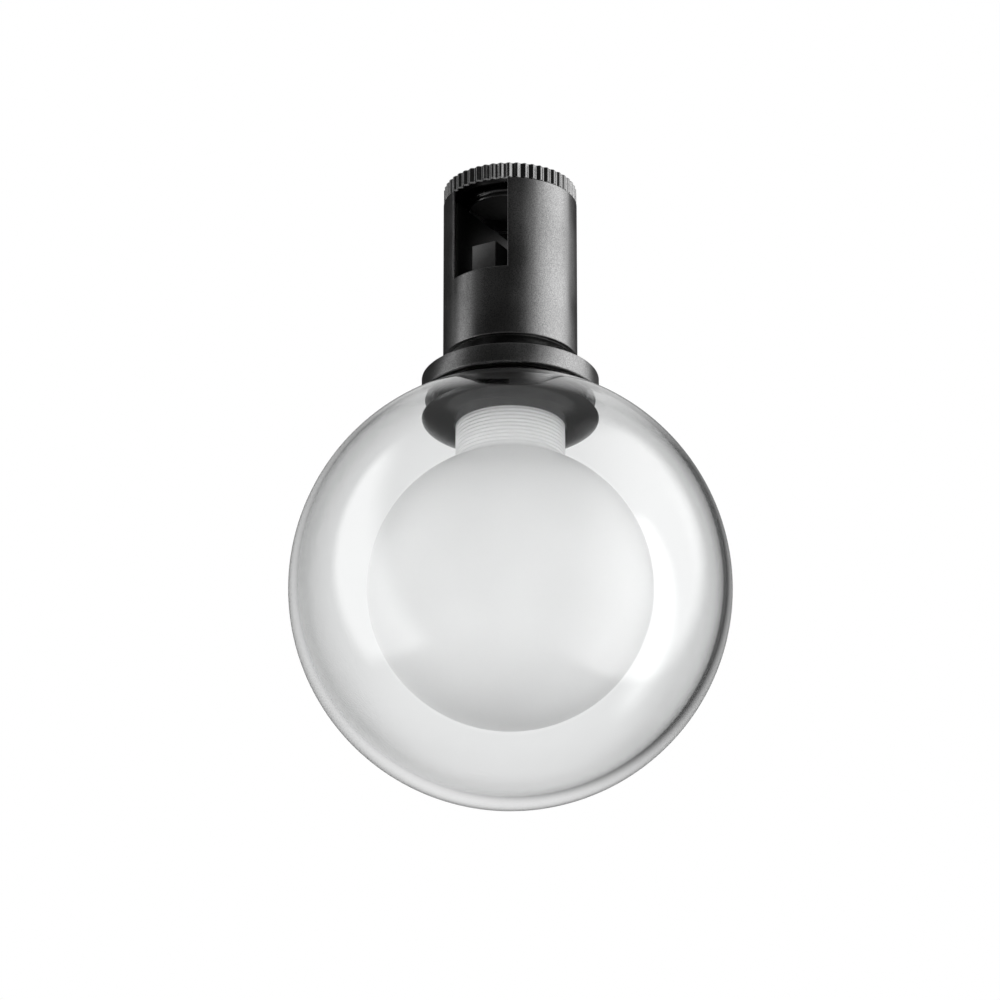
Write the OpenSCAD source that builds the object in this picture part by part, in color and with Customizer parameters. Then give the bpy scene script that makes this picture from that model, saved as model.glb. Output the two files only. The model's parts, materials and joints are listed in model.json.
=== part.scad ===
// Track light: a round clamp head for a track bar, with a clear glass globe around a frosted inner ball.
// The origin is on the head's axis, on top of the contact block, where the track bar rests.
// The track runs along Y, and the globe hangs towards -Z.

/* [Head] */
// Radius of the head's tube
head_r = 21.5; // [20.8:0.1:24]
// Wall of the head's tube
head_wall = 1.5; // [1:0.1:2]
// Height of the tube above the track seat
head_rise = 20.2; // [19:0.1:24]
// Length of the tube below the slot's floor
bay_h = 23.8; // [23:0.1:34]
// Bevel on the tube's lower edge
tube_edge = 0.3; // [0.1:0.1:0.6]

/* [Clamp core] */
// Width of the slot that the track bar lies in
slot_w = 19.7; // [18:0.1:20]
// Height of the core's side walls above the track seat
core_rise = 16.7; // [14:0.1:17]
// Thickness of the core's floor under the slot
floor_t = 3; // [2:0.5:5]
// Ledge between the tube and the core's threaded collar
collar_ledge = 2.1; // [1.6:0.1:2.6]
// Wall of the threaded collar
collar_wall = 2.5; // [1.5:0.1:2.6]
// Width of the gap that splits the collar in two
collar_gap_w = 24; // [22:0.5:28]
// How far the collar's thread reaches into the cap
collar_grip = 3.6; // [3:0.1:4]

/* [Contact block] */
// Width of the contact block
block_w = 8.5; // [7:0.1:9.5]
// Length of the contact block along the track
block_l = 33.6; // [28:0.1:35]
// Height of the contact block above the slot's floor
block_h = 10.8; // [9:0.1:14]
// Distance of each contact pin from the head's axis
pin_y = 9; // [6:0.5:10]
// Radius of a contact pin
pin_r = 1.2; // [1:0.1:1.4]
// How far a contact pin stands above the block
pin_rise = 0.9; // [0.5:0.1:1.5]
// Length of the wide foot of a contact pin
pin_foot_h = 1; // [0.6:0.1:1.5]
// Wall of the brass sleeve around a pin
sleeve_wall = 0.5; // [0.4:0.1:0.6]
// Wire thickness of a contact spring
spring_wire = 0.36; // [0.24:0.02:0.44]
// Turns of a contact spring
spring_turns = 6; // [4:1:8]

/* [Clamp cap] */
// How far the cap's ridges stay inside the tube's outline
cap_inset = 0.1; // [0:0.05:0.5]
// Height of the cap
cap_h = 5.5; // [5:0.1:8]
// Thickness of the cap's top
cap_top = 1.2; // [1:0.1:1.5]
// Gap between the cap's rim and the tube when it is screwed home
cap_seat_gap = 0.1; // [0.05:0.05:0.3]
// Number of flutes around the cap
flutes = 50; // [36:1:60]
// Radius of a flute
flute_r = 0.8; // [0.6:0.05:0.8]
// Depth of a flute
flute_depth = 0.6; // [0.3:0.05:0.6]
// Bevel on the cap's edges
cap_edge = 0.4; // [0.2:0.1:0.8]

/* [Clamp cup] */
// Gap between the cup and the threaded collar
cup_gap = 1; // [0.3:0.1:1]
// Step between the cup's ring and its lower lip
lip_step = 0.4; // [0.2:0.1:0.8]
// Wall of the cup
cup_wall = 0.6; // [0.5:0.1:1]
// Gap between the cup's lip and the core when the cap is home
lip_gap = 0.95; // [0.5:0.05:1.5]
// Depth of the cup
cup_depth = 4; // [3.4:0.1:4.2]
// Thickness of the cup's roof at its shoulder
cup_top = 0.7; // [0.5:0.1:0.9]
// Step between the cup's lip and the boss on its roof
boss_step = 1.5; // [1:0.1:3]
// Thickness of the liner in the cup
liner_t = 0.5; // [0.3:0.1:1]
// Thickness of the thrust washer between cup and cap
thrust_t = 0.3; // [0.2:0.05:0.5]
// Radius of the rivet that joins cup and cap
rivet_r = 1.5; // [1:0.1:2]

/* [Swivel neck] */
// Height of the shadow gap between head and globe holder
gap_h = 6.4; // [4:0.1:10]
// Shoulder of the neck in the shadow gap
neck_step = 1.6; // [1:0.1:2]
// Wall of the neck
neck_wall = 3; // [2.6:0.1:4]
// Thickness of the head's end plate
plate_t = 3; // [2.5:0.1:4]
// Thickness of the swivel's spring washer
spring_washer_t = 0.5; // [0.3:0.1:1]
// Thickness of the swivel nut
nut_t = 2.5; // [2:0.1:4]
// Wall of the swivel nut
nut_wall = 2; // [1.5:0.1:2.5]
// Radius of the stop pin
stop_r = 0.65; // [0.4:0.05:0.7]
// Gap between the stop pin and the swivel nut
stop_gap = 0.25; // [0.15:0.05:0.4]
// Gap between the nut's stop tab and the tie screws
tab_gap = 0.4; // [0.2:0.1:0.6]
// Edge of the end plate outside the heads of the tie screws
tie_edge = 0.9; // [0.5:0.1:1.5]

/* [Driver] */
// Thickness of the driver board
board_t = 1.2; // [0.8:0.1:1.6]
// Gap between the driver board and the tie screws
board_gap = 1; // [0.5:0.1:2]
// Length of the pillars that hold the board
pillar_h = 9.5; // [8.5:0.5:10]
// Distance of the pillars from the board's edge
pillar_inset = 3.7; // [2.5:0.1:4.5]
// Radius of the smoothing capacitor
capacitor_r = 3; // [2:0.5:3.5]
// Width of the inductor
inductor_w = 6; // [4:0.5:7]

/* [Globe holder] */
// Wall of the globe holder around the globe's neck
holder_wall = 2.6; // [1.6:0.1:5]
// Height of the globe holder
holder_h = 6.8; // [6.5:0.1:10]
// Thickness of the holder's top
holder_top = 2.5; // [2:0.1:3]
// Rounding of the holder's lower edge
holder_round = 1; // [0.4:0.1:1.2]
// Bevel of the holder's upper edge
holder_edge = 0.4; // [0.2:0.1:0.8]
// Thickness of the nut that holds neck and holder together
locknut_t = 1.5; // [1:0.1:2.5]
// Wall of that nut
locknut_wall = 5.2; // [3:0.1:6]
// Wall of the socket for the frosted ball
socket_wall = 4.9; // [4:0.1:5.5]
// Gap between the frosted ball's socket and the globe's neck
socket_gap = 0.5; // [0.3:0.1:1]
// Length of the socket's straight part
socket_h = 8; // [6:0.5:10]
// Length of the socket's taper
socket_taper = 3.2; // [2:0.1:5]
// Wall of the socket at its lower end
socket_tip = 1.7; // [1:0.1:3]

/* [Lamp] */
// Thickness of the heat spreader
spreader_t = 3; // [2:0.5:5]
// Thickness of the LED board
led_board_t = 1.6; // [1:0.1:2]
// Side of an LED chip
led_w = 2.4; // [1.5:0.1:3]
// Number of LED chips around the middle one
led_count = 6; // [3:1:8]

/* [Frosted ball] */
// Radius of the frosted ball
ball_r = 45; // [35:0.5:50]
// Wall of the frosted ball
ball_wall = 2; // [1.5:0.1:3]
// Wall of the ball's neck
ball_neck_wall = 2.2; // [1.8:0.1:2.3]
// How far the ball's centre lies under the globe's centre
ball_drop = 0.4; // [0:0.1:2]
// Thickness of the sealing ring above the rim
seal_t = 1.56; // [1:0.02:2]
// Radius of the cover ring around the ball's neck
cover_r = 28.4; // [24:0.1:29]
// Depth of the cover ring below its rim
cover_depth = 3.3; // [2:0.1:5]
// Thickness of the cover ring's rim
cover_edge = 0.7; // [0.5:0.1:1]
// Gap between the cover ring and the globe when the globe is unscrewed
cover_gap = 0.3; // [0.2:0.1:0.5]

/* [Glass globe] */
// Radius of the glass globe
globe_r = 70; // [65:0.5:80]
// Wall of the globe at its side
globe_wall = 3.2; // [2:0.1:4]
// How much thicker the glass is at the bottom
globe_foot = 1.4; // [0:0.1:1.5]
// Radius of the globe's threaded neck
globe_neck_r = 25.6; // [25:0.1:26]
// Wall of the globe's neck
globe_neck_wall = 2.6; // [2:0.1:2.7]
// Fillet between the globe and its neck
shoulder_r = 0.8; // [0.4:0.1:1.4]
// Gap between the holder's lower edge and the globe's shoulder
shoulder_gap = 0.05; // [0:0.05:1]
// Thickness of the globe's gasket
gasket_t = 1.1; // [0.6:0.1:1.5]

/* [Fits] */
// Radial clearance of a running fit
run_fit = 0.05; // [0.02:0.01:0.08]
// Radial clearance of a hand thread
thread_fit = 0.1; // [0.05:0.01:0.15]
// Radial clearance of pieces that are only put together
loose_fit = 0.1; // [0.05:0.05:0.15]
// Radius of a small screw's shank
screw_r = 1; // [0.8:0.1:1.1]
// Radius of a small screw's head
screw_head_r = 1.8; // [1.6:0.1:1.9]
// Height of a small screw's head
screw_head_h = 1.2; // [1:0.1:1.3]

/* [Hidden] */
$fn = 96;

// Overcut of a tool that passes through a face
cut = 0.5;
// Free depth beyond a screw's tip
bottom_gap = 0.5;

// Heights in the head, from the track seat
floor_z = -block_h;
core_low_z = floor_z - floor_t;
tube_low_z = floor_z - bay_h;
core_r = head_r - head_wall - loose_fit;
collar_r = core_r - collar_ledge;
collar_in_r = collar_r - collar_wall;

// Clamp cap and cup
cap_r = head_r - cap_inset;
cup_ring_r = collar_in_r - cup_gap;
lip_r = cup_ring_r - lip_step;
lip_z = core_rise + lip_gap;
cap_low_z = head_rise + cap_seat_gap;
cap_high_z = cap_low_z + cap_h;
cap_roof_z = cap_high_z - cap_top;
cup_high_z = cap_roof_z - thrust_t - run_fit;
cup_roof_z = lip_z + cup_depth;
cup_shoulder_z = cup_roof_z + cup_top;
collar_high_z = cap_low_z + collar_grip;
cap_bore_r = collar_r + thread_fit;
cup_in_r = lip_r - cup_wall;
groove_r = lip_r - cup_wall / 3;
boss_r = lip_r - boss_step;
lip_h = 0.75;
groove_h = 0.9;
ring_h = 1.5;
rivet_head_r = 2 * rivet_r;
rivet_head_h = 0.5;
rivet_grip = 0.7;
thrust_r = rivet_head_r + 4;

// Contact pins, their sleeves and springs
sleeve_in_r = pin_r + 0.5;
sleeve_out_r = sleeve_in_r + sleeve_wall;
sleeve_high_z = -0.8;
sleeve_low_z = floor_z + 0.4;
sleeve_base = 0.8;
pin_foot_high_z = sleeve_high_z;
pin_foot_low_z = pin_foot_high_z - pin_foot_h;
pin_point_h = pin_r * 0.4;
spring_low_z = sleeve_low_z + sleeve_base;
spring_r = sleeve_in_r - spring_wire / 2 - loose_fit;
tail_r = 0.8;
bush_wall = 0.5;
tail_low_z = core_low_z - 1.2;
block_screw_y = block_l / 2 - 2.6;
block_screw_grip = 4.5;

// Tie screws, stop and swivel nut on the end plate
end_high_z = tube_low_z + plate_t;
tie_x = core_r - screw_head_r - tie_edge;
tie_grip = 5.5;
tab_reach = tie_x - screw_r - tab_gap;
tab_w = 3;
nut_r = tab_reach - 2 * (stop_r + stop_gap);
stop_x = (nut_r + tab_reach) / 2;
stop_low_z = tube_low_z + 1;
stop_h = nut_t + spring_washer_t - 0.4;
washer_r = nut_r - 0.3;

// Driver bay
board_r = tie_x - screw_r - board_gap;
pillar_x = board_r - pillar_inset;
board_high_z = core_low_z - pillar_h;
board_low_z = board_high_z - board_t;
pillar_r = 1.9;
pillar_stud_h = floor_t - 1.5;
terminal_h = 4;
terminal_w = 5;
capacitor_h = pillar_h - 1.5;
capacitor_place = [-terminal_w / 2 - 1.2 - capacitor_r, 2.5 - pin_y, 0];
inductor_h = 4.5;
inductor_place = [terminal_w / 2 + 1.3 + inductor_w / 2, 3.5 - pin_y, 0];
// Size of each chip on the board, and its corner
controller = [5, 4, 1.5];
controller_place = [terminal_w / 2 + 1.7, pin_y - 0.8 - controller[1], board_high_z];
rectifier = [4.4, 3.6, 1.3];
rectifier_place = [-terminal_w / 2 - 1.7 - rectifier[0], pin_y - 0.8 - rectifier[1], board_high_z];
switch_chip = [3.2, 2.4, 1];
switch_place = [-switch_chip[0] / 2, pin_y - terminal_w / 2 - 1.9 - switch_chip[1], board_high_z];
board_screw_grip = 4;

// Swivel neck
spigot_r = nut_r - nut_wall;
neck_bore_r = spigot_r - neck_wall;
washer_high_z = end_high_z + spring_washer_t;
nut_high_z = washer_high_z + nut_t;
holder_high_z = tube_low_z - gap_h;
holder_roof_z = holder_high_z - holder_top;
holder_low_z = holder_high_z - holder_h;
locknut_low_z = holder_roof_z - locknut_t;
nut_slot_w = 2;
nut_slot_depth = 1;

// Frosted ball and its socket
ball_rim_z = locknut_low_z - seal_t - 0.04;
globe_in_r = globe_neck_r - globe_neck_wall;
socket_r = globe_in_r - socket_gap;
socket_in_r = socket_r - socket_wall;
ball_neck_r = socket_in_r - thread_fit;
ball_in_r = ball_neck_r - ball_neck_wall;
socket_mid_z = holder_roof_z - socket_h;
socket_low_z = socket_mid_z - socket_taper;
socket_screw_x = (socket_in_r + socket_r) / 2;
socket_screw_grip = 4;
seal_r = ball_neck_r - ball_neck_wall / 2;

// Nut under the holder, and the neck's lower spigot
locknut_r = socket_in_r - 0.4;
low_spigot_r = locknut_r - locknut_wall;
low_bore_r = low_spigot_r - neck_wall;
neck_r = max(spigot_r, low_spigot_r) + neck_step;

// Light source
spreader_r = ball_in_r - 0.4;
spreader_low_z = locknut_low_z - spreader_t;
led_board_r = spreader_r - 0.1;
led_board_low_z = spreader_low_z - led_board_t;
led_h = 0.6;
led_ring_r = 5.5;
led_screw_x = low_spigot_r - neck_wall / 2;
led_screw_grip = 4;
led_screw_head_r = 1.6;
wire_hole_r = 3.5;
wire_r = 0.7;
wire_x = 1.4;

// Glass globe
globe_rim_z = holder_roof_z - gasket_t;
fillet_x = globe_neck_r + shoulder_r;
fillet_z = holder_low_z - shoulder_gap;
fillet_reach = globe_r + shoulder_r;
globe_z = fillet_z - sqrt(pow(fillet_reach, 2) - pow(fillet_x, 2));
fillet_turn = asin((fillet_z - globe_z) / fillet_reach);
ball_z = globe_z - ball_drop;
cavity_r = globe_r - globe_wall;
globe_travel = 3;
holder_bore_r = globe_neck_r + thread_fit;
holder_r = holder_bore_r + holder_wall;
shoulder_depth = 0.5;

// Cover ring, clear of the globe also when that hangs on its last thread
cover_high_z = globe_z + globe_foot + sqrt(pow(cavity_r, 2) - pow(cover_r, 2)) - globe_travel - cover_gap;
cover_rim_z = cover_high_z - cover_edge / 2;
cover_low_z = cover_high_z - cover_edge - cover_depth;
cover_lip = 0.6;

function arc_points(x, z, r, from, to, steps) =
    [for (i = [0 : steps]) let (a = from + (to - from) * i / steps) [x + r * cos(a), z + r * sin(a)]];

module rod(r, low, high) {
    translate([0, 0, low]) cylinder(h = high - low, r = r);
}

module ring(r_out, r_in, low, high) {
    difference() {
        rod(r_out, low, high);
        rod(r_in, low - cut, high + cut);
    }
}

// A bar across the head along Y, as the track lies
module slot_cut(width, low, high) {
    translate([-width / 2, -head_r - cut, low]) cube([width, 2 * (head_r + cut), high - low]);
}

// A cap screw with a hexagon socket: head down, shank towards +Z
module cap_screw(r, head_r, head_h, length) {
    difference() {
        union() {
            rod(r, 0, length);
            rod(head_r, -head_h, 0);
        }
        translate([0, 0, -head_h - cut]) cylinder(h = head_h * 0.6 + cut, r = r * 0.8, $fn = 6);
    }
}

// A countersunk screw: flat head at 0, shank towards +Z
module flat_screw(r, head_r, length) {
    difference() {
        union() {
            rod(r, 0, length);
            cylinder(h = head_r - r, r1 = head_r, r2 = r);
        }
        translate([0, 0, -cut]) cylinder(h = (head_r - r) * 0.9 + cut, r = r * 0.8, $fn = 6);
    }
}

module flat_screw_hole(r, head_r, length) {
    rod(r + loose_fit, -cut, length);
    cylinder(h = head_r - r, r1 = head_r + loose_fit, r2 = r + loose_fit);
}

module mirror_y() {
    children();
    mirror([0, 1, 0]) children();
}

module mirror_x() {
    children();
    mirror([1, 0, 0]) children();
}

// A round wire wound along Z
module coil(r, wire, low, high, turns) {
    sides = 8;
    steps = 14;
    rings = turns * steps;
    rise = (high - low - wire) / rings;
    points = [for (i = [0 : rings], k = [0 : sides - 1])
        let (a = 360 * i / steps, b = 360 * k / sides, d = r + wire / 2 * cos(b))
        [d * cos(a), d * sin(a), low + wire / 2 + rise * i + wire / 2 * sin(b)]];
    walls = [for (i = [0 : rings - 1], k = [0 : sides - 1])
        let (n = (k + 1) % sides, p = i * sides, q = p + sides) [p + k, p + n, q + n, q + k]];
    first = [for (k = [0 : sides - 1]) sides - 1 - k];
    last = [for (k = [0 : sides - 1]) rings * sides + k];
    polyhedron(points, concat([first], walls, [last]), convexity = 8);
}

module head_tube() {
    color([0.06, 0.06, 0.06]) difference() {
        union() {
            rod(head_r, tube_low_z + tube_edge, head_rise);
            translate([0, 0, tube_low_z]) cylinder(h = tube_edge, r1 = head_r - tube_edge, r2 = head_r);
        }
        rod(head_r - head_wall, tube_low_z - cut, head_rise + cut);
        slot_cut(slot_w, floor_z, head_rise + cut);
    }
}

module clamp_core() {
    color([0.05, 0.05, 0.05]) difference() {
        union() {
            rod(core_r, core_low_z, core_rise);
            difference() {
                ring(collar_r, collar_in_r, core_rise, collar_high_z);
                slot_cut(collar_gap_w, core_rise - cut, collar_high_z + cut);
            }
        }
        slot_cut(slot_w, floor_z, core_rise + cut);
        mirror_y() translate([0, pin_y, 0]) {
            rod(tail_r + bush_wall + loose_fit, core_low_z - cut, floor_z + cut);
        }
        mirror_y() translate([0, block_screw_y, core_low_z]) {
            flat_screw_hole(screw_r, screw_head_r, floor_t + cut);
        }
        mirror_x() translate([0, 0, core_low_z]) {
            translate([pillar_x, 0, 0]) rod(screw_r, -cut, pillar_stud_h + bottom_gap);
            translate([tie_x, 0, 0]) rod(screw_r, -cut, tie_grip + bottom_gap);
        }
    }
}

module contact_block() {
    color([0.1, 0.1, 0.1]) difference() {
        translate([-block_w / 2, -block_l / 2, floor_z]) cube([block_w, block_l, block_h]);
        mirror_y() translate([0, pin_y, 0]) {
            rod(pin_r + run_fit, sleeve_high_z - cut, cut);
            rod(sleeve_out_r + loose_fit, sleeve_low_z - run_fit, sleeve_high_z + run_fit);
            rod(tail_r + loose_fit, floor_z - cut, sleeve_low_z);
        }
        mirror_y() translate([0, block_screw_y, floor_z]) {
            rod(screw_r, -cut, block_screw_grip + bottom_gap);
        }
    }
}

module block_screws() {
    color("silver") mirror_y() translate([0, block_screw_y, core_low_z]) {
        flat_screw(screw_r, screw_head_r, floor_t + block_screw_grip);
    }
}

module contact_sleeves() {
    color("gold") mirror_y() translate([0, pin_y, 0]) {
        ring(sleeve_out_r, sleeve_in_r, sleeve_low_z, sleeve_high_z);
        rod(sleeve_in_r + sleeve_wall / 2, sleeve_low_z, sleeve_low_z + sleeve_base);
        rod(tail_r, tail_low_z, sleeve_low_z + sleeve_base / 2);
    }
}

module tail_bushes() {
    color("ivory") mirror_y() translate([0, pin_y, 0]) {
        ring(tail_r + bush_wall, tail_r + loose_fit / 2, core_low_z, floor_z - run_fit);
    }
}

module contact_pin(side) {
    color("gold") translate([0, side * pin_y, 0]) {
        rod(pin_r, pin_foot_low_z, pin_rise - pin_point_h);
        translate([0, 0, pin_rise - pin_point_h]) cylinder(h = pin_point_h, r1 = pin_r, r2 = pin_r / 2);
        rod(sleeve_in_r - run_fit, pin_foot_low_z, pin_foot_high_z);
    }
}

module contact_pin_front() {
    contact_pin(-1);
}

module contact_pin_rear() {
    contact_pin(1);
}

module contact_spring(side) {
    color("silver") translate([0, side * pin_y, 0]) {
        coil(spring_r, spring_wire, spring_low_z, pin_foot_low_z, spring_turns);
    }
}

module contact_spring_front() {
    contact_spring(-1);
}

module contact_spring_rear() {
    contact_spring(1);
}

module clamp_cap() {
    color([0.07, 0.07, 0.07]) difference() {
        union() {
            rod(cap_r, cap_low_z + cap_edge, cap_high_z - cap_edge);
            translate([0, 0, cap_low_z]) cylinder(h = cap_edge, r1 = cap_r - cap_edge, r2 = cap_r);
            translate([0, 0, cap_high_z - cap_edge]) {
                cylinder(h = cap_edge, r1 = cap_r, r2 = cap_r - cap_edge);
            }
        }
        rod(cap_bore_r, cap_low_z - cut, cap_roof_z);
        rod(rivet_r, cap_roof_z - cut, cap_roof_z + rivet_grip);
        for (i = [0 : flutes - 1]) {
            rotate([0, 0, 360 * i / flutes]) translate([cap_r + flute_r - flute_depth, 0, 0]) {
                rod(flute_r, cap_low_z - cut, cap_high_z + cut, $fn = 24);
            }
        }
    }
}

module cap_rivet() {
    color("silver") {
        rod(rivet_r, cup_roof_z + run_fit, cap_roof_z + rivet_grip);
        rod(rivet_head_r, cup_roof_z + run_fit, cup_roof_z + rivet_head_h);
    }
}

module thrust_washer() {
    color("ivory") ring(thrust_r, rivet_r + run_fit, cup_high_z, cup_high_z + thrust_t);
}

module clamp_cup() {
    color([0.08, 0.08, 0.08]) difference() {
        union() {
            rod(lip_r, lip_z, lip_z + lip_h);
            rod(groove_r, lip_z + lip_h, cup_shoulder_z);
            rod(cup_ring_r, lip_z + lip_h + groove_h, lip_z + lip_h + groove_h + ring_h);
            rod(boss_r, cup_shoulder_z, cup_high_z);
        }
        rod(cup_in_r, lip_z - cut, cup_roof_z);
        rod(rivet_r + run_fit, cup_roof_z - cut, cup_high_z + cut);
        rod(rivet_head_r + loose_fit, cup_roof_z - cut, cup_roof_z + rivet_head_h + run_fit);
    }
}

module cup_liner() {
    color([0.03, 0.03, 0.03]) rod(cup_in_r - loose_fit, cup_roof_z - liner_t, cup_roof_z);
}

module driver_board() {
    color("darkgreen") difference() {
        rod(board_r, board_low_z, board_high_z);
        mirror_x() {
            translate([pillar_x, 0, 0]) rod(screw_r + loose_fit, board_low_z - cut, board_high_z + cut);
            translate([wire_x, 0, 0]) rod(wire_r + loose_fit, board_low_z - cut, board_high_z + cut);
        }
    }
}

module board_pillars() {
    color("gold") mirror_x() translate([pillar_x, 0, 0]) difference() {
        union() {
            translate([0, 0, board_high_z]) cylinder(h = pillar_h, r = pillar_r, $fn = 6);
            rod(screw_r, board_high_z + pillar_h - cut, core_low_z + pillar_stud_h);
        }
        rod(screw_r, board_high_z - cut, board_high_z + board_screw_grip + bottom_gap);
    }
}

module board_screws() {
    color("silver") mirror_x() translate([pillar_x, 0, board_low_z]) {
        cap_screw(screw_r, screw_head_r, screw_head_h, board_t + board_screw_grip);
    }
}

module supply_terminals() {
    color("seagreen") mirror_y() difference() {
        translate([-terminal_w / 2, pin_y - terminal_w / 2, board_high_z]) {
            cube([terminal_w, terminal_w, terminal_h]);
        }
        translate([0, pin_y, 0]) rod(wire_r + loose_fit, board_high_z + 1, board_high_z + terminal_h + cut);
    }
}

module supply_wires() {
    color("dimgray") mirror_y() translate([0, pin_y, 0]) rod(wire_r, board_high_z + 1.2, tail_low_z);
}

module smoothing_capacitor() {
    color("midnightblue") translate(capacitor_place) {
        rod(capacitor_r, board_high_z, board_high_z + capacitor_h);
    }
}

module inductor() {
    color("dimgray") translate(inductor_place) difference() {
        translate([-inductor_w / 2, -inductor_w / 2, board_high_z]) {
            cube([inductor_w, inductor_w, inductor_h]);
        }
        rod(inductor_w * 0.3, board_high_z + inductor_h - 0.6, board_high_z + inductor_h + cut);
    }
}

module driver_chips() {
    color("black") {
        translate(controller_place) cube(controller);
        translate(rectifier_place) cube(rectifier);
        translate(switch_place) cube(switch_chip);
    }
}

module output_wires() {
    color("dimgray") mirror_x() translate([wire_x, 0, 0]) {
        rod(wire_r, spreader_low_z + loose_fit, board_high_z + 0.8);
    }
}

module end_plate() {
    color([0.05, 0.05, 0.05]) difference() {
        rod(core_r, tube_low_z, end_high_z);
        rod(spigot_r + run_fit, tube_low_z - cut, end_high_z + cut);
        mirror_x() translate([tie_x, 0, tube_low_z]) flat_screw_hole(screw_r, screw_head_r, plate_t + cut);
        translate([-stop_x, 0, 0]) rod(stop_r, stop_low_z, end_high_z + cut);
    }
}

module tie_screws() {
    color("dimgray") mirror_x() translate([tie_x, 0, tube_low_z]) {
        flat_screw(screw_r, screw_head_r, core_low_z - tube_low_z + tie_grip);
    }
}

module stop_pin() {
    color("silver") translate([-stop_x, 0, 0]) rod(stop_r, stop_low_z, end_high_z + stop_h);
}

module swivel_neck() {
    color([0.04, 0.04, 0.04]) difference() {
        union() {
            rod(spigot_r, holder_high_z, nut_high_z);
            rod(neck_r, holder_high_z, tube_low_z - run_fit);
            rod(low_spigot_r, locknut_low_z, holder_high_z);
        }
        rod(neck_bore_r, holder_high_z, nut_high_z + cut);
        rod(low_bore_r, locknut_low_z - cut, holder_high_z + cut);
        mirror_x() translate([led_screw_x, 0, locknut_low_z]) rod(screw_r, -cut, led_screw_grip + bottom_gap);
    }
}

module swivel_washer() {
    color("silver") ring(washer_r, spigot_r + loose_fit, end_high_z, washer_high_z);
}

module swivel_nut() {
    color("dimgray") difference() {
        union() {
            rod(nut_r, washer_high_z, nut_high_z);
            translate([0, -tab_w / 2, washer_high_z]) cube([tab_reach, tab_w, nut_t]);
        }
        rod(spigot_r, washer_high_z - cut, nut_high_z + cut);
        translate([-nut_slot_w / 2, -nut_r - cut, nut_high_z - nut_slot_depth]) {
            cube([nut_slot_w, 2 * nut_r + 2 * cut, nut_slot_depth + cut]);
        }
    }
}

module globe_holder() {
    profile = concat(
        [[low_spigot_r, holder_roof_z], [low_spigot_r, holder_high_z]],
        [[holder_r - holder_edge, holder_high_z]],
        [[holder_r, holder_high_z - holder_edge]],
        arc_points(holder_r - holder_round, holder_low_z + holder_round, holder_round, 0, -90, 6),
        [[holder_bore_r, holder_low_z], [holder_bore_r, holder_roof_z]]
    );
    color([0.06, 0.06, 0.06]) difference() {
        rotate_extrude() polygon(profile);
        for (i = [0 : 2]) {
            rotate([0, 0, 120 * i + 90]) translate([socket_screw_x, 0, holder_high_z]) {
                mirror([0, 0, 1]) flat_screw_hole(screw_r, screw_head_r, holder_top + cut);
            }
        }
    }
}

module locknut() {
    color("dimgray") ring(locknut_r, low_spigot_r, locknut_low_z, holder_roof_z);
}

module ball_socket() {
    profile = [
        [socket_in_r, holder_roof_z], [socket_r, holder_roof_z], [socket_r, socket_mid_z],
        [socket_in_r + socket_tip, socket_low_z], [socket_in_r, socket_low_z]
    ];
    color([0.04, 0.04, 0.04]) difference() {
        rotate_extrude() polygon(profile);
        for (i = [0 : 2]) {
            rotate([0, 0, 120 * i + 90]) translate([socket_screw_x, 0, 0]) {
                rod(screw_r, holder_roof_z - socket_screw_grip - bottom_gap, holder_roof_z + cut);
            }
        }
    }
}

module socket_screws() {
    color("dimgray") for (i = [0 : 2]) {
        rotate([0, 0, 120 * i + 90]) translate([socket_screw_x, 0, holder_high_z]) {
            mirror([0, 0, 1]) flat_screw(screw_r, screw_head_r, holder_top + socket_screw_grip);
        }
    }
}

module heat_spreader() {
    color("silver") difference() {
        ring(spreader_r, wire_hole_r, spreader_low_z, locknut_low_z);
        mirror_x() translate([led_screw_x, 0, 0]) {
            rod(screw_r + loose_fit, spreader_low_z - cut, locknut_low_z + cut);
        }
    }
}

module led_board() {
    color("white") difference() {
        rod(led_board_r, led_board_low_z, spreader_low_z);
        mirror_x() translate([led_screw_x, 0, 0]) {
            rod(screw_r + loose_fit, led_board_low_z - cut, spreader_low_z + cut);
        }
    }
}

module led_chip(x) {
    translate([x - led_w / 2, -led_w / 2, led_board_low_z - led_h]) cube([led_w, led_w, led_h]);
}

module led_chips() {
    color("khaki") {
        led_chip(0);
        for (i = [0 : led_count - 1]) {
            rotate([0, 0, 360 * (i + 0.5) / led_count]) led_chip(led_ring_r);
        }
    }
}

module led_screws() {
    color("silver") mirror_x() translate([led_screw_x, 0, led_board_low_z]) {
        cap_screw(screw_r, led_screw_head_r, screw_head_h, led_board_t + spreader_t + led_screw_grip);
    }
}

module frosted_ball() {
    color([0.95, 0.95, 0.93]) difference() {
        union() {
            translate([0, 0, ball_z]) sphere(r = ball_r);
            rod(ball_neck_r, ball_z, ball_rim_z);
        }
        translate([0, 0, ball_z]) sphere(r = ball_r - ball_wall);
        rod(ball_in_r, ball_z, ball_rim_z + cut);
    }
}

module ball_collar() {
    profile = concat(
        [[socket_in_r, socket_low_z], [socket_in_r + socket_tip, socket_low_z]],
        arc_points(cover_r - cover_edge / 2, cover_rim_z, cover_edge / 2, 90, -70, 8),
        [[socket_in_r + cover_lip, cover_low_z], [socket_in_r, cover_low_z]]
    );
    color([0.04, 0.04, 0.04]) rotate_extrude() polygon(profile);
}

module ball_seal() {
    color([0.1, 0.1, 0.1]) translate([0, 0, ball_rim_z + seal_t / 2 + 0.02]) {
        rotate_extrude() translate([seal_r, 0]) circle(r = seal_t / 2, $fn = 24);
    }
}

module globe_gasket() {
    color([0.08, 0.08, 0.08]) {
        ring(globe_neck_r - loose_fit, globe_in_r + loose_fit, globe_rim_z, holder_roof_z);
    }
}

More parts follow.
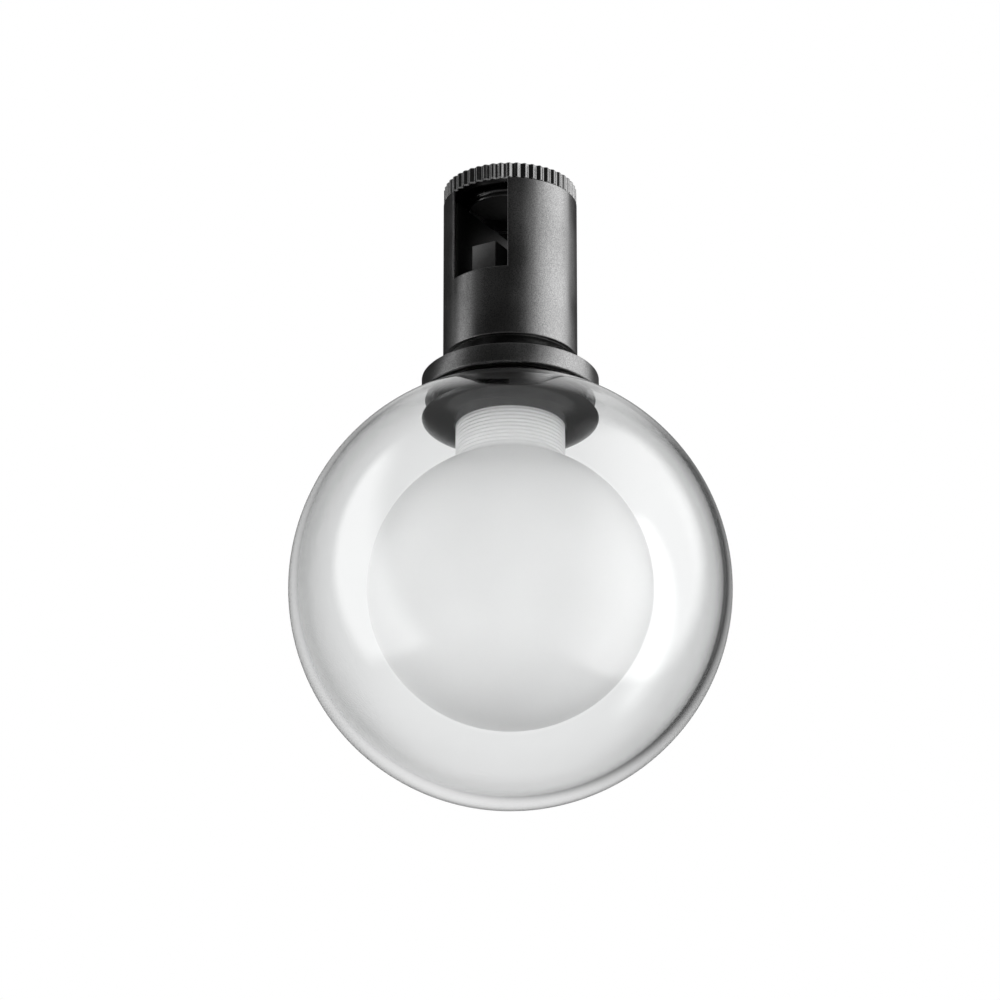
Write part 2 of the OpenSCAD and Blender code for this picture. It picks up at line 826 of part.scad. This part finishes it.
module glass_globe() {
    touch = shoulder_depth / globe_r;
    foot = arc_points(fillet_x, fillet_z, shoulder_r, 180, 180 + fillet_turn, 6);
    last = foot[6];
    shoulder = concat(
        [[globe_neck_r - shoulder_depth, fillet_z]], foot,
        [[last[0] * (1 - touch), last[1] - (last[1] - globe_z) * touch]]
    );
    color([0.85, 0.9, 0.92, 0.3]) difference() {
        union() {
            translate([0, 0, globe_z]) sphere(r = globe_r);
            rod(globe_neck_r, globe_z, globe_rim_z);
            rotate_extrude() polygon(shoulder);
        }
        translate([0, 0, globe_z + globe_foot]) sphere(r = cavity_r);
        rod(globe_in_r, globe_z, globe_z + globe_r + cut);
    }
}

head_tube();
clamp_core();
contact_block();
block_screws();
contact_sleeves();
tail_bushes();
contact_pin_front();
contact_pin_rear();
contact_spring_front();
contact_spring_rear();
clamp_cap();
cap_rivet();
thrust_washer();
clamp_cup();
cup_liner();
driver_board();
board_pillars();
board_screws();
supply_terminals();
supply_wires();
smoothing_capacitor();
inductor();
driver_chips();
output_wires();
end_plate();
tie_screws();
stop_pin();
swivel_neck();
swivel_washer();
swivel_nut();
globe_holder();
locknut();
ball_socket();
socket_screws();
heat_spreader();
led_board();
led_chips();
led_screws();
frosted_ball();
ball_collar();
ball_seal();
globe_gasket();
glass_globe();
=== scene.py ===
import json
import math

import bmesh
import bpy
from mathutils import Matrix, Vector


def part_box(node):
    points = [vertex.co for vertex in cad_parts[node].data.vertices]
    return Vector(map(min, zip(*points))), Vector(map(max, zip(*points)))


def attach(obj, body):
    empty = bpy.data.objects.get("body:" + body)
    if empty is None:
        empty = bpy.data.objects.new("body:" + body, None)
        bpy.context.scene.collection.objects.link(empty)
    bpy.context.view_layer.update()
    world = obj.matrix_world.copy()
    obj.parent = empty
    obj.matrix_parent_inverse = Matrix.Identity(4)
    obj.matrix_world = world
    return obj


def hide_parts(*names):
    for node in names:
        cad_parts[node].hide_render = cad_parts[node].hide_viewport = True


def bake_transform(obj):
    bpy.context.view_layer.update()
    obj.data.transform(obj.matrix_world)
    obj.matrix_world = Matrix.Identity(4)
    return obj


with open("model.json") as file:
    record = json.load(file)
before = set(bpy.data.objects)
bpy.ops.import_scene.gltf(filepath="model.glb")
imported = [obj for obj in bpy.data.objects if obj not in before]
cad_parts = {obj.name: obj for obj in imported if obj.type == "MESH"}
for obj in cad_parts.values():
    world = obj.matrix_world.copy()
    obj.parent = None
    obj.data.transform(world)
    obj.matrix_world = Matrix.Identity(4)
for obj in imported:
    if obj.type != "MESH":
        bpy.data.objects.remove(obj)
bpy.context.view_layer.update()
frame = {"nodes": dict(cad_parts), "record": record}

MM = 0.001
UM = 0.000001
TAU = 2 * math.pi
UP = Vector((0, 0, 1))


# Camera: fitted to the outlines in the photograph. It stands low in front and looks up.

AZIMUTH, ELEVATION, DISTANCE = 30.1, -22.54, 2.0  # place seen from the globe: degrees and metres
YAW, PITCH = 0.102, 23.34  # degrees to the side of the globe, degrees upwards
LENS, SENSOR = 228.6, 36  # millimetres
CLIP_NEAR, CLIP_FAR = 0.05, 60  # metres
GLOBE_CENTRE = Vector((0, 0, -113.5)) * MM


def heading(side, elevation):
    """A direction: side turns from -Y towards +X, elevation upwards, both in degrees."""
    a, e = math.radians(side), math.radians(elevation)
    return Vector((math.sin(a) * math.cos(e), -math.cos(a) * math.cos(e), math.sin(e)))


AHEAD = -heading(AZIMUTH + YAW, -PITCH)


def place_camera():
    data = bpy.data.cameras.new("camera")
    data.lens, data.sensor_width = LENS, SENSOR
    data.clip_start, data.clip_end = CLIP_NEAR, CLIP_FAR
    camera = bpy.data.objects.new("camera", data)
    bpy.context.scene.collection.objects.link(camera)
    bpy.context.scene.camera = camera
    camera.location = GLOBE_CENTRE + DISTANCE * heading(AZIMUTH, ELEVATION)
    camera.rotation_mode = "QUATERNION"
    camera.rotation_quaternion = AHEAD.to_track_quat("-Z", "Y")


place_camera()


# Shader node helpers: each takes and returns sockets

NOISE_LOW, NOISE_HIGH = 0.35, 0.65  # noise stays mostly between these


def node(tree, kind, **values):
    made = tree.nodes.new(kind)
    for key, value in values.items():
        if key in made.inputs.keys():
            made.inputs[key].default_value = value
        else:
            setattr(made, key, value)
    return made


def object_coords(tree):
    return tree.nodes.new("ShaderNodeTexCoord").outputs["Object"]


def noise(tree, coords, scale, detail=2.0, roughness=0.5):
    made = node(tree, "ShaderNodeTexNoise", Scale=scale, Detail=detail, Roughness=roughness)
    tree.links.new(coords, made.inputs["Vector"])
    return made.outputs["Fac"]


def remap(tree, value, start, end, low, high, kind="LINEAR"):
    """Takes values from start to end onto low to high, and holds them there beyond."""
    made = node(tree, "ShaderNodeMapRange", interpolation_type=kind)
    limits = {"From Min": start, "From Max": end, "To Min": low, "To Max": high}
    for key, limit in limits.items():
        made.inputs[key].default_value = limit
    tree.links.new(value, made.inputs["Value"])
    return made.outputs["Result"]


def ramp(tree, value, low, high):
    """Takes a noise value onto low to high."""
    return remap(tree, value, NOISE_LOW, NOISE_HIGH, low, high)


def tint(tree, value, dark, light):
    made = node(tree, "ShaderNodeMix", data_type="RGBA")
    made.inputs["A"].default_value = (*dark, 1)
    made.inputs["B"].default_value = (*light, 1)
    tree.links.new(value, made.inputs["Factor"])
    return made.outputs["Result"]


def bump(tree, value, strength, distance):
    made = node(tree, "ShaderNodeBump", Strength=strength, Distance=distance)
    tree.links.new(value, made.inputs["Height"])
    return made.outputs["Normal"]


def maths(tree, operation, *values):
    made = node(tree, "ShaderNodeMath", operation=operation)
    for socket, value in zip(made.inputs, values):
        if isinstance(value, float):
            socket.default_value = value
        else:
            tree.links.new(value, socket)
    return made.outputs["Value"]


# Materials

IOR = 1.5  # glass, polymers and coats alike
PATCH_WIDTH = 40  # width of the patches in the gloss, in grains


def grey(value):
    return (value, value, value)


def new_material(name):
    mat = bpy.data.materials.new(name)
    mat.use_nodes = True
    return mat, mat.node_tree, mat.node_tree.nodes["Principled BSDF"]


def grained(name, dark, light, rough, grain, height, metallic=0.0, spec=0.5, spread=0.05,
            strength=0.35):
    """A solid surface with grain (per metre) in its colour and height (micrometres)."""
    mat, tree, shader = new_material(name)
    coords = object_coords(tree)
    fine = noise(tree, coords, grain, 3.0, 0.6)
    broad = noise(tree, coords, grain / PATCH_WIDTH, 2.0, 0.5)
    colour = tint(tree, ramp(tree, fine, 0, 1), dark, light)
    tree.links.new(colour, shader.inputs["Base Color"])
    tree.links.new(ramp(tree, broad, rough - spread, rough + spread), shader.inputs["Roughness"])
    tree.links.new(bump(tree, fine, strength, height * UM), shader.inputs["Normal"])
    shader.inputs["Metallic"].default_value = metallic
    shader.inputs["Specular IOR Level"].default_value = spec
    shader.inputs["IOR"].default_value = IOR
    return mat


def clear_glass():
    """Clear glass with faint waves."""
    mat, tree, shader = new_material("glass_clear")
    coords = object_coords(tree)
    waves = noise(tree, coords, 18, 1.0, 0.4)
    tree.links.new(bump(tree, waves, 0.06, 400 * UM), shader.inputs["Normal"])
    haze = ramp(tree, noise(tree, coords, 60), 0.0, 0.012)
    tree.links.new(haze, shader.inputs["Roughness"])
    shader.inputs["Base Color"].default_value = (0.985, 0.99, 0.99, 1)
    shader.inputs["Transmission Weight"].default_value = 1
    shader.inputs["IOR"].default_value = IOR
    shader.inputs["Specular IOR Level"].default_value = 0.5
    return mat


def frosted_glass():
    """White frosted glass: light spreads a few millimetres inside it."""
    mat, tree, shader = new_material("glass_frosted")
    coords = object_coords(tree)
    fine = noise(tree, coords, 1400, 2.0, 0.5)
    broad = noise(tree, coords, 30, 2.0, 0.5)
    colour = tint(tree, ramp(tree, broad, 0, 1), grey(0.86), grey(0.90))
    tree.links.new(colour, shader.inputs["Base Color"])
    tree.links.new(ramp(tree, broad, 0.34, 0.40), shader.inputs["Roughness"])
    tree.links.new(bump(tree, fine, 0.15, 20 * UM), shader.inputs["Normal"])
    shader.inputs["Specular IOR Level"].default_value = 0.5
    shader.inputs["Subsurface Weight"].default_value = 0.25
    shader.inputs["Subsurface Radius"].default_value = grey(6 * MM)
    shader.inputs["Subsurface Scale"].default_value = 1.0
    return mat


# The satin coat is a dark metal shader: it has the coat's highlight, and its grain shows
COAT = grained("coat_satin_black", grey(0.115), grey(0.225), 0.36, 2700, 30, metallic=1)
COAT_FINE = grained("coat_fine_black", grey(0.12), grey(0.20), 0.29, 2600, 20, metallic=1)
# The parts inside the head get a darker, rougher copy of the satin coat: its darkness is painted
# shade
COAT_PAINTED_SHADE = grained("coat_black_painted_shade", grey(0.02), grey(0.04), 0.58, 2600, 30, metallic=1)
COAT_GLOSS = grained("coat_gloss_black", grey(0.001), grey(0.002), 0.20, 900, 20, spec=0.7,
                     spread=0.03)
STEEL = grained("steel_plain", grey(0.48), grey(0.58), 0.32, 1500, 20, metallic=1)

BY_SLOT = {
    "black_coat": COAT,
    "black_coat_inner": COAT_PAINTED_SHADE,
    "black_polymer": grained("polymer_black", grey(0.002), grey(0.014), 0.42, 2300, 50, spec=0.9),
    "black_rubber": grained("rubber_black", grey(0.010), grey(0.018), 0.72, 1200, 50, spec=0.3),
    "white_polymer": grained("polymer_white", (0.72, 0.71, 0.66), (0.80, 0.79, 0.75), 0.5, 900, 20),
    "terminal_polymer": grained("terminal_green", (0.04, 0.22, 0.10), (0.06, 0.28, 0.13), 0.5,
                                900, 20),
    "wire_cover": grained("wire_grey", grey(0.03), grey(0.05), 0.5, 900, 20),
    "capacitor_sleeve": grained("sleeve_blue", (0.012, 0.016, 0.08), (0.02, 0.026, 0.11), 0.3,
                                700, 10),
    "inductor_ferrite": grained("ferrite_grey", grey(0.035), grey(0.06), 0.65, 900, 30),
    "board_green": grained("board_green", (0.01, 0.10, 0.035), (0.015, 0.14, 0.05), 0.3, 700, 20),
    "board_white": grained("board_white", grey(0.74), grey(0.80), 0.3, 700, 10),
    "phosphor": grained("phosphor_yellow", (0.75, 0.62, 0.16), (0.83, 0.70, 0.22), 0.4, 900, 10),
    "contact_brass": grained("brass_bright", (0.60, 0.42, 0.16), (0.68, 0.50, 0.22), 0.28, 1500,
                             20, metallic=1),
    "spring_steel": STEEL,
    "screw_steel": STEEL,
    "black_screw": grained("screw_black", grey(0.014), grey(0.022), 0.35, 1500, 20, metallic=0.6),
    "plain_aluminium": grained("aluminium_turned", grey(0.60), grey(0.70), 0.34, 1500, 20,
                               metallic=1),
    "clear_glass": clear_glass(),
    "frosted_glass": frosted_glass(),
}

slot_of = {part["node"]: part["material_slot"] for part in frame["record"]["subparts"]}
for name, obj in frame["nodes"].items():
    obj.data.materials.clear()
    obj.data.materials.append(BY_SLOT[slot_of[name]])


# Mesh helpers: profiles are lists of (radius, height) in millimetres

SHARP = math.radians(35)  # a dressed node's edges over this are softened
CRISP = math.radians(30)  # the cap's edges over this stay sharp
ON_AXIS = 1e-6  # a profile point closer to the axis than this is one point, not a ring


def put(name, bm, node_name, material=None, body=None):
    """A smooth-shaded piece in a CAD node's place."""
    mesh = bpy.data.meshes.new(name)
    bm.to_mesh(mesh)
    bm.free()
    obj = bpy.data.objects.new(name, mesh)
    bpy.context.scene.collection.objects.link(obj)
    mesh.materials.append(material or BY_SLOT[slot_of[node_name]])
    for face in mesh.polygons:
        face.use_smooth = True
    if body:
        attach(obj, body)
    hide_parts(node_name)
    return obj


def node_mesh(node_name):
    bm = bmesh.new()
    bm.from_mesh(frame["nodes"][node_name].data)
    return bm


def box_mm(node_name):
    """(lowest corner, highest corner) of a CAD node in millimetres."""
    return tuple(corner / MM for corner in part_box(node_name))


def sharp_edges(bm, angle):
    return [e for e in bm.edges if len(e.link_faces) == 2 and e.calc_face_angle(0) > angle]


def arc(z, r, start, end, steps):
    """Profile points of an arc round (0, z), angles in degrees."""
    angles = [math.radians(start + (end - start) * i / steps) for i in range(steps + 1)]
    return [(r * math.cos(a), z + r * math.sin(a)) for a in angles]


def lathe(profile, segments=192, closed=True, flutes=0):
    """Turns a profile round Z. A point's third value, if any, is the depth of the flutes there."""
    bm = bmesh.new()
    rings = []
    for r, z, *depth in profile:
        if r < ON_AXIS:
            rings.append([bm.verts.new((0, 0, z * MM))] * segments)
            continue
        ring = []
        for i in range(segments):
            a = TAU * i / segments
            reach = r - sum(depth) * (0.5 + 0.5 * math.cos(flutes * a))
            ring.append(bm.verts.new((reach * MM * math.cos(a), reach * MM * math.sin(a), z * MM)))
        rings.append(ring)
    pairs = list(zip(rings, rings[1:]))
    if closed:
        pairs.append((rings[-1], rings[0]))
    for a, b in pairs:
        for i in range(segments):
            j = (i + 1) % segments
            bm.faces.new(list(dict.fromkeys((a[i], a[j], b[j], b[i]))))
    bmesh.ops.recalc_face_normals(bm, faces=bm.faces)
    return bm


def dressed(node_name, width, body, material=None, segments=2, weight=None):
    """A CAD node's shape with softened corners; weight gives an edge's share of the width."""
    bm = node_mesh(node_name)
    bmesh.ops.remove_doubles(bm, verts=bm.verts, dist=0.001 * MM)
    bmesh.ops.dissolve_limit(bm, angle_limit=math.radians(0.5), verts=bm.verts, edges=bm.edges)
    if weight:
        share = bm.edges.layers.float.new("bevel_weight_edge")
        for e in sharp_edges(bm, SHARP):
            e[share] = weight((e.verts[0].co + e.verts[1].co) / 2 / MM)
    obj = put("dressed_" + node_name, bm, node_name, material, body)
    mod = obj.modifiers.new("soften", "BEVEL")
    mod.width = width * MM
    mod.segments = segments
    mod.limit_method = "WEIGHT" if weight else "ANGLE"
    mod.angle_limit = SHARP
    mod.harden_normals = True
    mod.use_clamp_overlap = not weight


# Clamp head: the slot's edges are rounded most, the other edges of tube and core less

SLOT_LOW = box_mm("contact_block")[0].z - 0.2  # takes in the edges of the slot's floor
TUBE_SLOT_TOP = 19
CORE_SLOT_TOP, CORE_FACE_Y = 16, 16
MINOR = 0.3


def tube_weight(at):
    return 1 if SLOT_LOW < at.z < TUBE_SLOT_TOP else MINOR


def core_weight(at):
    return 1 if abs(at.y) > CORE_FACE_Y and SLOT_LOW < at.z < CORE_SLOT_TOP else MINOR


dressed("head_tube", 0.55, "head", segments=5, weight=tube_weight)
dressed("clamp_core", 0.45, "head", segments=4, weight=core_weight)
dressed("contact_block", 0.2, "head")
dressed("end_plate", 0.1, "head")
dressed("clamp_cup", 0.15, "cup", material=COAT_FINE, segments=3)
dressed("cup_liner", 0.08, "cup")
dressed("globe_holder", 0.10, "lamp")


# Contact springs: smooth-shaded copies of the CAD springs, in their place

def contact_spring(side):
    node_name = "contact_spring_" + side
    spring = put("sprung_" + side, node_mesh(node_name), node_name)
    low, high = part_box(node_name)
    foot = (low + high) / 2
    top = foot.copy()
    foot.z, top.z = low.z, high.z
    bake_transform(spring)


contact_spring("front")
contact_spring("rear")


# Fluted cap: rounded flutes with chamfered ends, hollow, with a blind hole for the rivet

FLUTES, FLUTE_DEPTH, FLUTE_STEPS = 50, 0.66, 14
CAP_BORE, CAP_TOP, CAP_CHAMFER = 17.9, 1.2, 0.4
RIVET_HOLE_R, RIVET_HOLE_DEPTH = 1.5, 0.7


def fluted_cap():
    low, high = box_mm("clamp_cap")
    r, floor, top = high.x, low.z, high.z
    roof = top - CAP_TOP
    hole = roof + RIVET_HOLE_DEPTH
    inside = [(0, hole), (RIVET_HOLE_R, hole), (RIVET_HOLE_R, roof), (CAP_BORE, roof),
              (CAP_BORE, floor)]
    outside = [(r - CAP_CHAMFER, floor), (r, floor + CAP_CHAMFER), (r, top - CAP_CHAMFER),
               (r - CAP_CHAMFER, top)]
    profile = inside + [(*point, FLUTE_DEPTH) for point in outside] + [(0, top)]
    bm = lathe(profile, FLUTES * FLUTE_STEPS, closed=False, flutes=FLUTES)
    for e in sharp_edges(bm, CRISP):
        e.smooth = False
    return bm


put("cap_fluted", fluted_cap(), "clamp_cap", COAT_FINE, "cap")


# Cover ring round the ball's neck: a shallow black dome below a bevelled edge

RING_LOW, RING_HIGH = box_mm("ball_collar")
RING_R, RING_BORE = RING_HIGH.x, 17.6
RING_SEAT, RING_EDGE, RING_LAND = 1.2, 0.75, 0.6
RING_BEVEL = ((0.4, 0.4), (0.1, 0.2))  # (in from the rim, up from the dome's top)
DOME_STEP = 5  # degrees


def ring_profile():
    rim_z = RING_HIGH.z - RING_EDGE
    width, depth = RING_R - RING_BORE - RING_LAND, rim_z - RING_LOW.z
    dome = []
    for angle in range(0, 91, DOME_STEP):
        a = math.radians(angle)
        dome.append((RING_R - width * (1 - math.cos(a)), rim_z - depth * math.sin(a)))
    bore = [(RING_BORE, RING_LOW.z), (RING_BORE, RING_HIGH.z)]
    seat = [(RING_BORE + RING_SEAT, RING_HIGH.z)]
    bevel = [(RING_R - inwards, rim_z + up) for inwards, up in RING_BEVEL]
    return bore + seat + bevel + dome


put("cover_ring", lathe(ring_profile()), "ball_collar", COAT_GLOSS, "lamp")


# Clear globe: the cavity sits a little high, so the glass is thickest at the bottom

GLOBE_LOW, GLOBE_HIGH = box_mm("glass_globe")
CAD_GLOBE_R = 70
GLOBE_Z, RIM_Z = GLOBE_LOW.z + CAD_GLOBE_R, GLOBE_HIGH.z
GLOBE_R = CAD_GLOBE_R - 0.02  # stays inside the CAD's facets
NECK_R, NECK_IN = 25.6, 23.0
CAVITY_R, CAVITY_UP = 66.8, 1.4
# Small fillets as (away from the neck's wall, up from the sphere or down from the rim)
SHOULDER = ((0.35, 0.12), (0.1, 0.3), (0, 0.6))
SHOULDER_OUT = 0.6
LIP = ((0, 0.5), (0.15, 0.15), (0.5, 0))
MOUTH = ((0, 1.2), (0.25, 0.45))
MOUTH_OUT = 0.8
SPHERE_STEPS, HIDDEN_STEPS = 96, 64


def angle_at(radius, sphere_r):
    """Degrees above its equator at which a sphere is radius away from its axis."""
    return math.degrees(math.acos(radius / sphere_r))


def globe_profile():
    outer = arc(GLOBE_Z, GLOBE_R, -90, angle_at(NECK_R + SHOULDER_OUT, GLOBE_R), SPHERE_STEPS)
    inner = arc(GLOBE_Z + CAVITY_UP, CAVITY_R, angle_at(NECK_IN + MOUTH_OUT, CAVITY_R), -90,
                SPHERE_STEPS)
    shoulder_z, mouth_z = outer[-1][1], inner[0][1]
    shoulder = [(NECK_R + out, shoulder_z + up) for out, up in SHOULDER]
    neck = [(NECK_R - inwards, RIM_Z - down) for inwards, down in LIP]
    rim = [(NECK_IN + out, RIM_Z - down) for out, down in reversed(LIP)]
    mouth = [(NECK_IN + out, mouth_z + up) for out, up in MOUTH]
    return outer[:-1] + shoulder + neck + rim + mouth + inner


put("globe_glass", lathe(globe_profile(), 256, closed=False), "glass_globe", body="globe")


# Frosted ball with a ribbed neck

BALL_LOW, BALL_HIGH = box_mm("frosted_ball")
BALL_R, BALL_WALL, BALL_NECK, BALL_NECK_IN = 45.0, 2, 17.5, 15.3
BALL_Z, BALL_RIM = BALL_LOW.z + BALL_R, BALL_HIGH.z
FOOT = ((0.35, 0.45), (0.05, 1.1))  # fillet as (out from the neck's wall, up from the ball)
FOOT_OUT = 0.9
RIB_PITCH = 1.25
RIBS_LOW, RIBS_TOP = 1.6, RING_HIGH.z - 0.5  # up from the ball, and below the ring's top
RIB = ((0.02, 0), (0.05, 0.3), (0.30, 0.55), (0.30, 0.75), (0.05, 0.97))  # (depth, share of pitch)


def ball_profile():
    outer = arc(BALL_Z, BALL_R, -90, angle_at(BALL_NECK + FOOT_OUT, BALL_R), SPHERE_STEPS)
    inner_r = BALL_R - BALL_WALL
    inner = arc(BALL_Z, inner_r, angle_at(BALL_NECK_IN, inner_r), -90, HIDDEN_STEPS)
    foot_z = outer[-1][1]
    neck = [(BALL_NECK + out, foot_z + up) for out, up in FOOT]
    z = foot_z + RIBS_LOW
    while z + RIB_PITCH < RIBS_TOP:
        neck += [(BALL_NECK - depth, z + RIB_PITCH * share) for depth, share in RIB]
        z += RIB_PITCH
    neck += [(BALL_NECK, z), (BALL_NECK, BALL_RIM), (BALL_NECK_IN, BALL_RIM)]
    return outer + neck + inner


put("ball_frosted", lathe(ball_profile(), closed=False), "frosted_ball", body="lamp")


# Floor: a plain sheet far below, which only the camera sees

FLOOR_SIZE, FLOOR_Z = 12, -2.6


def floor():
    bm = bmesh.new()
    bmesh.ops.create_grid(bm, x_segments=4, y_segments=4, size=FLOOR_SIZE)
    mesh = bpy.data.meshes.new("floor")
    bm.to_mesh(mesh)
    bm.free()
    obj = bpy.data.objects.new("floor", mesh)
    bpy.context.scene.collection.objects.link(obj)
    obj.location.z = FLOOR_Z
    mesh.materials.append(grained("floor_paint", grey(0.86), grey(0.86), 0.8, 20, 100,
                                  strength=0.05))
    obj.visible_diffuse = obj.visible_glossy = obj.visible_transmission = False


floor()


# Studio: all light comes from the world, in fixed directions

def toward(side, elevation):
    """A direction whose side counts from the photograph's viewpoint, to the right, in degrees."""
    return heading(AZIMUTH + side, elevation)


# A lobe: direction, the cosines to it where it starts and where it is full, light before and after
WALL = (toward(188, 13), 0.81, 0.975, 0.05, 0.92)
BELOW = (-UP, 0.30, 0.70, 0.0, 0.7)
ABOVE = (UP, 0.60, 0.95, 0.04, 0.25)
BEYOND = (toward(182, -25), 0.80, 0.97, 0.0, 0.5)
HIGH = (toward(176, 50), 0.93, 0.99, 0.0, 1.0)
AWAY = (AHEAD, 0.45, 0.78, 0.80, 0.0)
SLANT = (toward(60, -20), -1.0, 1.0, 2.15, 2.35)

# A panel: corners in turn as (side, elevation), softness of the edge after each, strength
RIGHT_PANEL = (((119, -24), (131, 58), (30, 62), (20, -52)), (0.26, 0.2, 0.75, 0.12), 3.5)
LEFT_PANEL = (((-108, -26), (-102, 60), (-78, 60), (-48, -46)), (0.14, 0.3, 0.3, 0.12), 1.5)

# Matt surfaces: their light fades towards the photograph's top and bottom
MIDDLE, FADE = 0.03, 1.05
# Share of the side panels and of the lit floor that shows in the glass
LEFT_SHARE, RIGHT_SHARE, BELOW_SHARE = 1.3, 0.03, 0.1


def dot(tree, coords, direction):
    made = node(tree, "ShaderNodeVectorMath", operation="DOT_PRODUCT")
    tree.links.new(coords, made.inputs[0])
    made.inputs[1].default_value = direction
    return made.outputs["Value"]


def lobe(tree, coords, direction, start, end, low, high):
    return remap(tree, dot(tree, coords, direction), start, end, low, high, "SMOOTHSTEP")


def panel(tree, coords, corners, edges, strength):
    """A light panel with soft edges: the product of one soft step over each edge."""
    points = [toward(*corner) for corner in corners]
    middle = sum(points, Vector())
    value = strength
    for k, softness in enumerate(edges):
        inward = points[k].cross(points[(k + 1) % len(points)]).normalized()
        if inward.dot(middle) < 0:
            inward = -inward
        value = maths(tree, "MULTIPLY", lobe(tree, coords, inward, 0.0, softness, 0.0, 1.0), value)
    return value


def total(tree, first, *others):
    for value in others:
        first = maths(tree, "ADD", first, value)
    return first


def scattered_light(tree, coords):
    """An even light, brightest halfway up and a little brighter from the right."""
    upwards = AHEAD.cross(UP).cross(AHEAD).normalized()
    height = maths(tree, "SUBTRACT", dot(tree, coords, upwards), MIDDLE)
    fade = maths(tree, "MULTIPLY", maths(tree, "MULTIPLY", height, height), FADE)
    even = maths(tree, "MAXIMUM", maths(tree, "SUBTRACT", 1.0, fade), 0.0)
    return maths(tree, "MULTIPLY", even, lobe(tree, coords, *SLANT))


def background(tree, strength):
    made = tree.nodes.new("ShaderNodeBackground")
    made.inputs["Color"].default_value = (*grey(1), 1)
    if isinstance(strength, float):
        made.inputs["Strength"].default_value = strength
    else:
        tree.links.new(strength, made.inputs["Strength"])
    return made.outputs["Background"]


def either(tree, condition, otherwise, then):
    """The shader then where condition is 1, and otherwise where it is 0."""
    made = tree.nodes.new("ShaderNodeMixShader")
    tree.links.new(condition, made.inputs["Fac"])
    tree.links.new(otherwise, made.inputs[1])
    tree.links.new(then, made.inputs[2])
    return made.outputs["Shader"]


def make_world():
    """A pale studio. Mirrored, transmitted and scattered rays each meet their own brightness."""
    world = bpy.data.worlds.new("studio")
    bpy.context.scene.world = world
    world.use_nodes = True
    tree = world.node_tree
    tree.nodes.clear()
    out = tree.nodes.new("ShaderNodeOutputWorld")
    coords = tree.nodes.new("ShaderNodeTexCoord").outputs["Generated"]
    ray = tree.nodes.new("ShaderNodeLightPath").outputs

    left = panel(tree, coords, *LEFT_PANEL)
    right = panel(tree, coords, *RIGHT_PANEL)
    below = lobe(tree, coords, *BELOW)
    mirrored = total(tree, left, right, below, lobe(tree, coords, *ABOVE),
                     lobe(tree, coords, *BEYOND), lobe(tree, coords, *HIGH))

    # Rays that only pass through glass see a bright studio behind the camera and beside it too
    unmirrored = maths(tree, "LESS_THAN", ray["Glossy Depth"], 0.5)
    through = total(tree, maths(tree, "MULTIPLY", left, LEFT_SHARE),
                    maths(tree, "MULTIPLY", right, RIGHT_SHARE),
                    maths(tree, "MULTIPLY", lobe(tree, coords, *AWAY), unmirrored),
                    lobe(tree, coords, *WALL),
                    maths(tree, "MULTIPLY", below, BELOW_SHARE))

    scattered = maths(tree, "GREATER_THAN", ray["Diffuse Depth"], 0.5)
    light = either(tree, ray["Is Transmission Ray"], background(tree, mirrored),
                   background(tree, through))
    light = either(tree, scattered, light, background(tree, scattered_light(tree, coords)))
    light = either(tree, ray["Is Camera Ray"], light, background(tree, 1.0))
    tree.links.new(light, out.inputs["Surface"])


make_world()
bpy.context.scene.view_settings.view_transform = "Standard"
